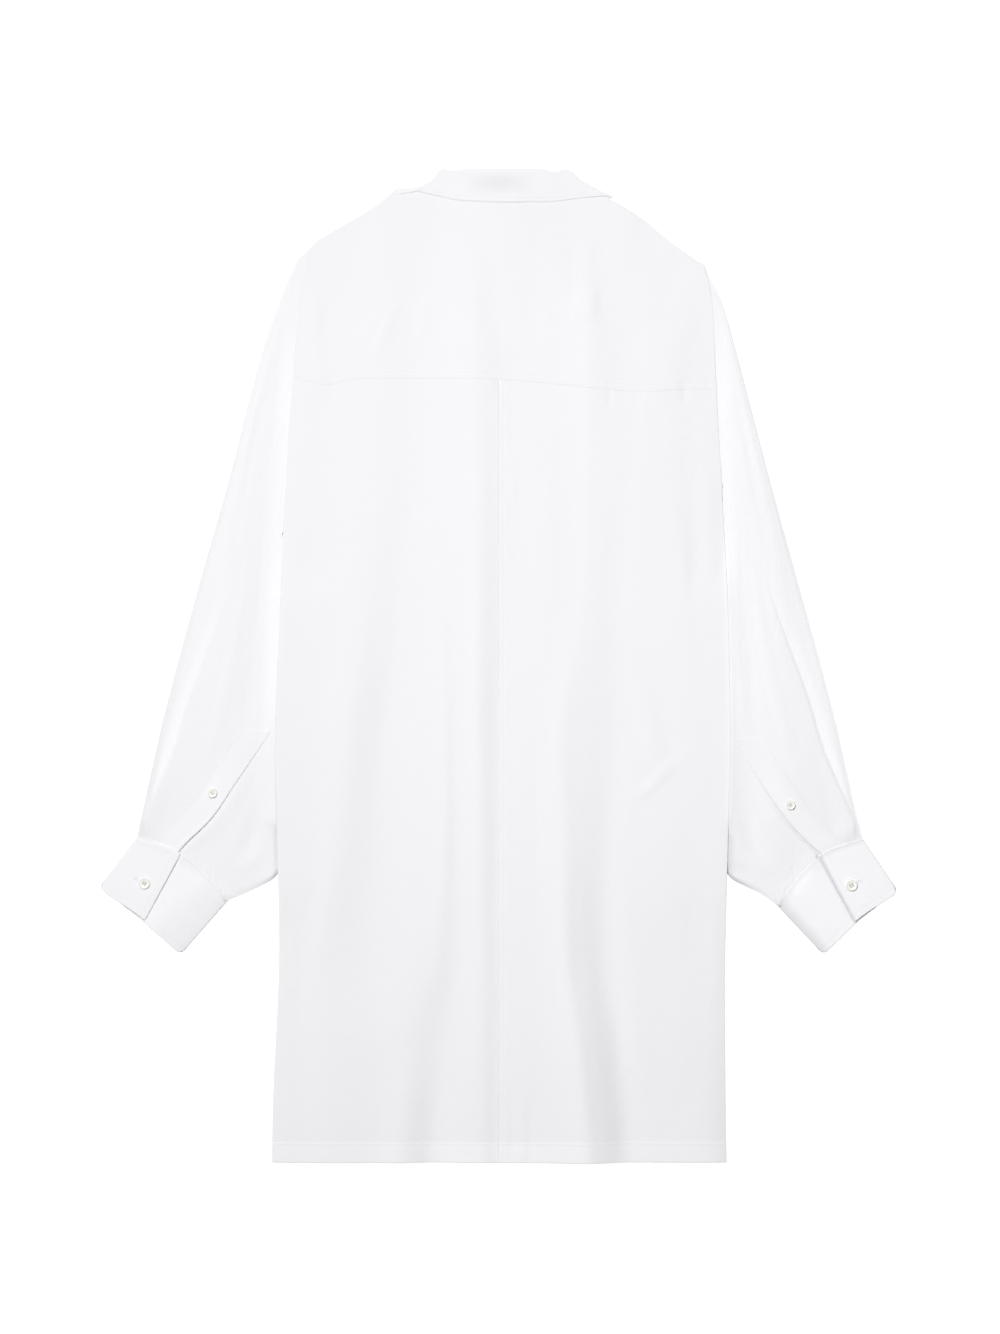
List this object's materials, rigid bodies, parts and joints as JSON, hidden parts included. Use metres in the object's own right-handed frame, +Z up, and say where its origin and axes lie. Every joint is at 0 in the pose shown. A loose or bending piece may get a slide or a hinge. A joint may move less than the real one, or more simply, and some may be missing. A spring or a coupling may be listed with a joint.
{
  "type": "shirt dress",
  "caption": "White cotton shirt dress with a yoke, turned collar, long buttoned sleeves and a straight hem, laid flat with its back uppermost.",
  "frame": {"origin": "middle of the footprint, on the surface that the dress lies on", "axes": "+Z up from the surface, out of the back of the dress; +Y from the hem to the collar; +X to the wearer's right"},
  "size_m": [0.8008, 0.9922, 0.0176],
  "materials": {
    "body_cloth": "crisp white cotton poplin",
    "sleeve_cloth": "crisp white cotton poplin",
    "collar_cloth": "white cotton poplin, stiffened",
    "cuff_cloth": "white cotton poplin, stiffened",
    "band_cloth": "white cotton poplin, doubled",
    "buttons": "pearl grey, polished"
  },
  "bodies": {
    "root": {"yoke": "body_cloth", "back_left": "body_cloth", "back_right": "body_cloth", "front_left": "body_cloth", "front_right": "body_cloth", "front_band_over": "band_cloth", "front_band_under": "band_cloth", "collar_stand": "collar_cloth", "collar_leaf": "collar_cloth", "sleeve_left": "sleeve_cloth", "sleeve_right": "sleeve_cloth", "sleeve_placket_left": "band_cloth", "sleeve_placket_right": "band_cloth", "cuff_left": "cuff_cloth", "cuff_right": "cuff_cloth", "cuff_button_left": "buttons", "cuff_button_right": "buttons", "sleeve_button_left": "buttons", "sleeve_button_right": "buttons", "front_button_1": "buttons", "front_button_2": "buttons", "front_button_3": "buttons", "front_button_4": "buttons", "front_button_5": "buttons", "front_button_6": "buttons", "front_button_7": "buttons", "stand_button": "buttons"}
  },
  "joints": []
}
